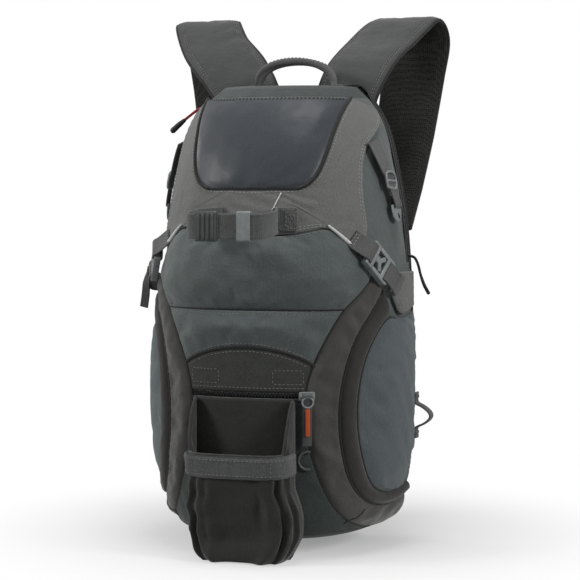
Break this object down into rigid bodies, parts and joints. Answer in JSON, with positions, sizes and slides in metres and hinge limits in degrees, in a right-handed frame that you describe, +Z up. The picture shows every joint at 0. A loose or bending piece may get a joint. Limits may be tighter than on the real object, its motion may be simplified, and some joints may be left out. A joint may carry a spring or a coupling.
{
  "type": "camera backpack",
  "caption": "Soft padded backpack with a curved front, raised side pockets, a hanging tripod pouch and strap, compression buckles, D-rings, a grab handle and padded shoulder straps.",
  "frame": {"origin": "middle of the back panel's wearer face, where the bag rests against a back", "axes": "+Z up, +Y out of the back panel towards the wearer, +X to the right as seen from the front"},
  "size_m": [0.3404, 0.3979, 0.5706],
  "materials": {
    "body_cloth": "slate green-grey fine ripstop polyester, matte",
    "side_cloth": "blue-grey fine ripstop polyester, matte",
    "bib_cloth": "smooth coated navy-grey cloth with a soft sheen",
    "canvas": "brown-grey plain weave canvas, matte, stitched along its hems",
    "dark_cloth": "dark brown-grey soft cloth, matte",
    "pouch_cloth": "black-grey soft cloth, pleated",
    "strap_cloth": "dark smooth cloth outside with edge stitching, black mesh inside",
    "air_mesh": "black open spacer mesh, matte",
    "webbing": "ribbed grey polyester webbing",
    "zip_tape": "black coil zip on woven tape",
    "light_piping": "light grey reflective piping",
    "grey_plastic": "moulded grey acetal, satin",
    "dark_rubber": "moulded black grip, matte",
    "orange_rubber": "moulded orange pull, satin",
    "dark_cord": "black braided cord",
    "red_cord": "red braided cord"
  },
  "bodies": {
    "root": {"body_shell": "body_cloth", "back_panel": "air_mesh", "top_bib": "bib_cloth", "yoke": "canvas", "upper_front_panel": "body_cloth", "lower_front_panel": "body_cloth", "flap_panel": "dark_cloth", "front_zip": "zip_tape", "centre_pocket": "body_cloth", "wing_right": "dark_cloth", "wing_left": "dark_cloth", "rim_right": "dark_cloth", "rim_left": "dark_cloth", "side_pocket_right": "side_cloth", "side_pocket_left": "side_cloth", "buckle_frame_right": "grey_plastic", "buckle_frame_left": "grey_plastic", "buckle_tongue_right": "grey_plastic", "buckle_tongue_left": "grey_plastic", "yoke_webbing_right": "webbing", "yoke_webbing_left": "webbing", "side_gusset_right": "canvas", "side_gusset_left": "canvas", "side_webbing_right": "webbing", "side_webbing_left": "webbing", "piping_right": "light_piping", "piping_left": "light_piping", "ring_strap_right": "webbing", "ring_strap_left": "webbing", "side_loop_right": "webbing", "side_loop_left": "webbing", "tripod_pouch": "pouch_cloth", "pouch_band": "webbing", "tripod_strap": "webbing", "strap_slider": "grey_plastic", "strap_clip": "grey_plastic", "grab_handle": "webbing", "shoulder_strap_right": "strap_cloth", "shoulder_strap_left": "strap_cloth", "ladder_lock_right": "grey_plastic", "ladder_lock_left": "grey_plastic", "lower_webbing_right": "webbing", "lower_webbing_left": "webbing", "front_slider": "grey_plastic", "low_pull": "dark_cord", "side_pull": "dark_cord", "top_cord": "red_cord", "top_grip": "dark_rubber"},
    "d_ring_right": {"d_ring_right": "grey_plastic"},
    "d_ring_left": {"d_ring_left": "grey_plastic"},
    "front_zip_pull": {"front_zip_pull": "orange_rubber"}
  },
  "joints": [
    {"name": "d_ring_right_hinge", "type": "hinge", "parent": "root", "child": "d_ring_right", "pos_m": [0.12595, -0.06511, 0.10711], "axis": [-0.1537, -0.9875, 0.034], "range_deg": [0, 110]},
    {"name": "d_ring_left_hinge", "type": "hinge", "parent": "root", "child": "d_ring_left", "pos_m": [-0.12595, -0.06511, 0.10711], "axis": [-0.1537, 0.9875, -0.034], "range_deg": [0, 110]},
    {"name": "front_pull_hinge", "type": "hinge", "parent": "root", "child": "front_zip_pull", "pos_m": [0.06584, -0.18418, -0.08341], "axis": [-0.9193, -0.3936, 0], "range_deg": [0, 110]}
  ]
}
